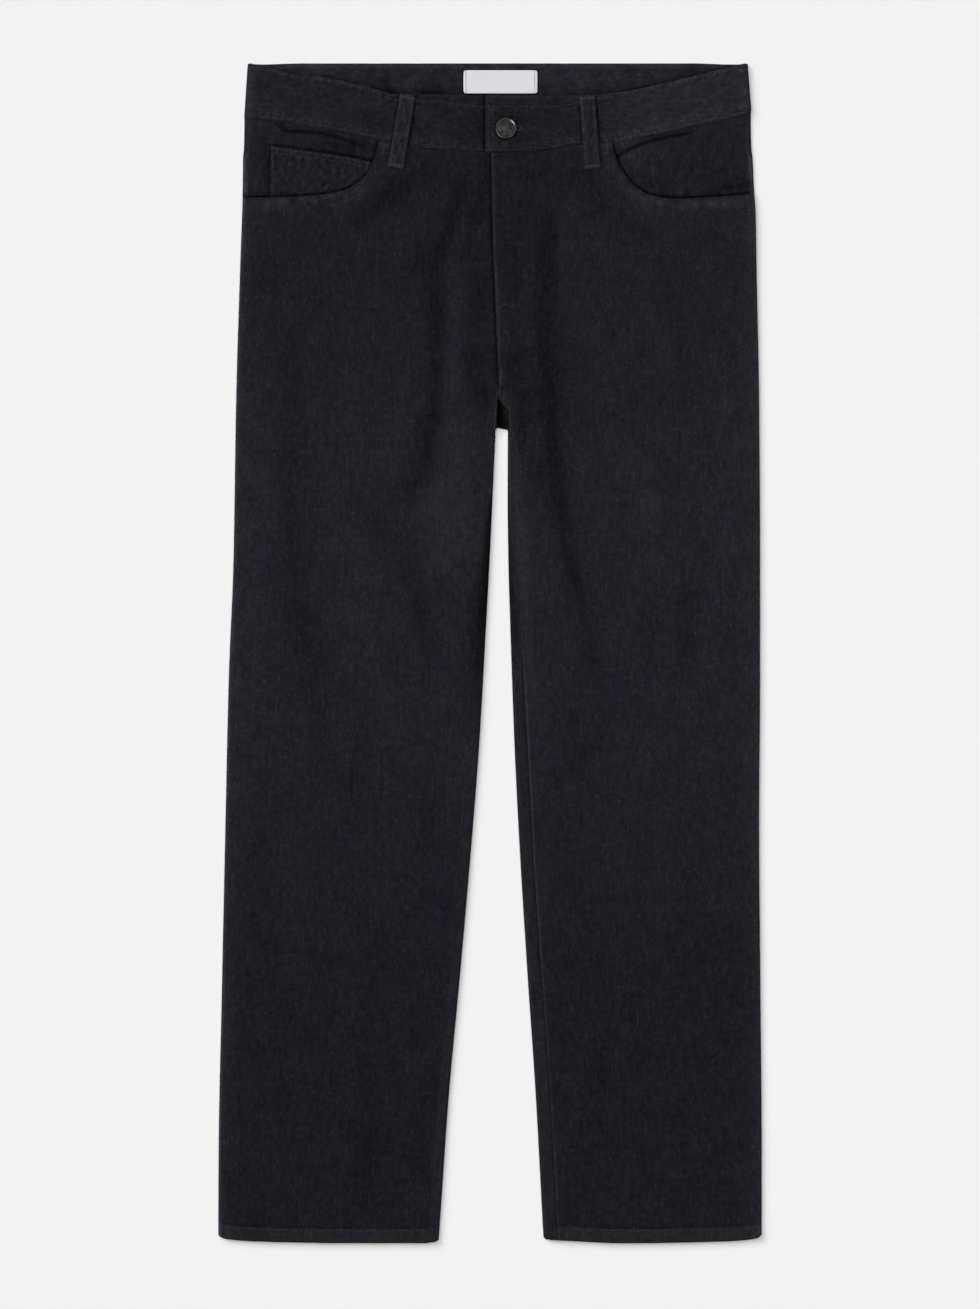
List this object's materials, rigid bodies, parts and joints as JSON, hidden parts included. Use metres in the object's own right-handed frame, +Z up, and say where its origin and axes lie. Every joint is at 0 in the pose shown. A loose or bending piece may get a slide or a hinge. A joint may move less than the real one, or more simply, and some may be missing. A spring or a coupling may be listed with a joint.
{
  "type": "straight leg jeans",
  "caption": "Straight leg denim jeans laid flat, front up, with scooped front pockets, a buttoned waistband, belt loops and turned hems.",
  "frame": {"origin": "under the middle of the garment, on the surface that it lies on", "axes": "+Y from the hems to the waist, +X to the wearer's left, +Z up, out of the front"},
  "size_m": [0.4675, 1.014, 0.0142],
  "materials": {
    "denim": "blue-black denim twill, slubbed, matt",
    "facing_denim": "blue-black denim twill, matt",
    "label_cloth": "woven satin ribbon",
    "zip_tape": "woven tape, matt",
    "gunmetal": "antique gunmetal, satin"
  },
  "bodies": {
    "root": {"front_left": "denim", "front_right": "denim", "back_left": "denim", "back_right": "denim", "back_yoke_left": "denim", "back_yoke_right": "denim", "back_pocket_left": "denim", "back_pocket_right": "denim", "pocket_facing_left": "facing_denim", "pocket_facing_right": "facing_denim", "coin_pocket": "facing_denim", "waistband": "denim", "belt_loop_front_left": "denim", "belt_loop_front_right": "denim", "belt_loop_back_left": "denim", "belt_loop_back_centre": "denim", "belt_loop_back_right": "denim", "zip": "zip_tape", "button": "gunmetal", "label": "label_cloth"}
  },
  "joints": []
}
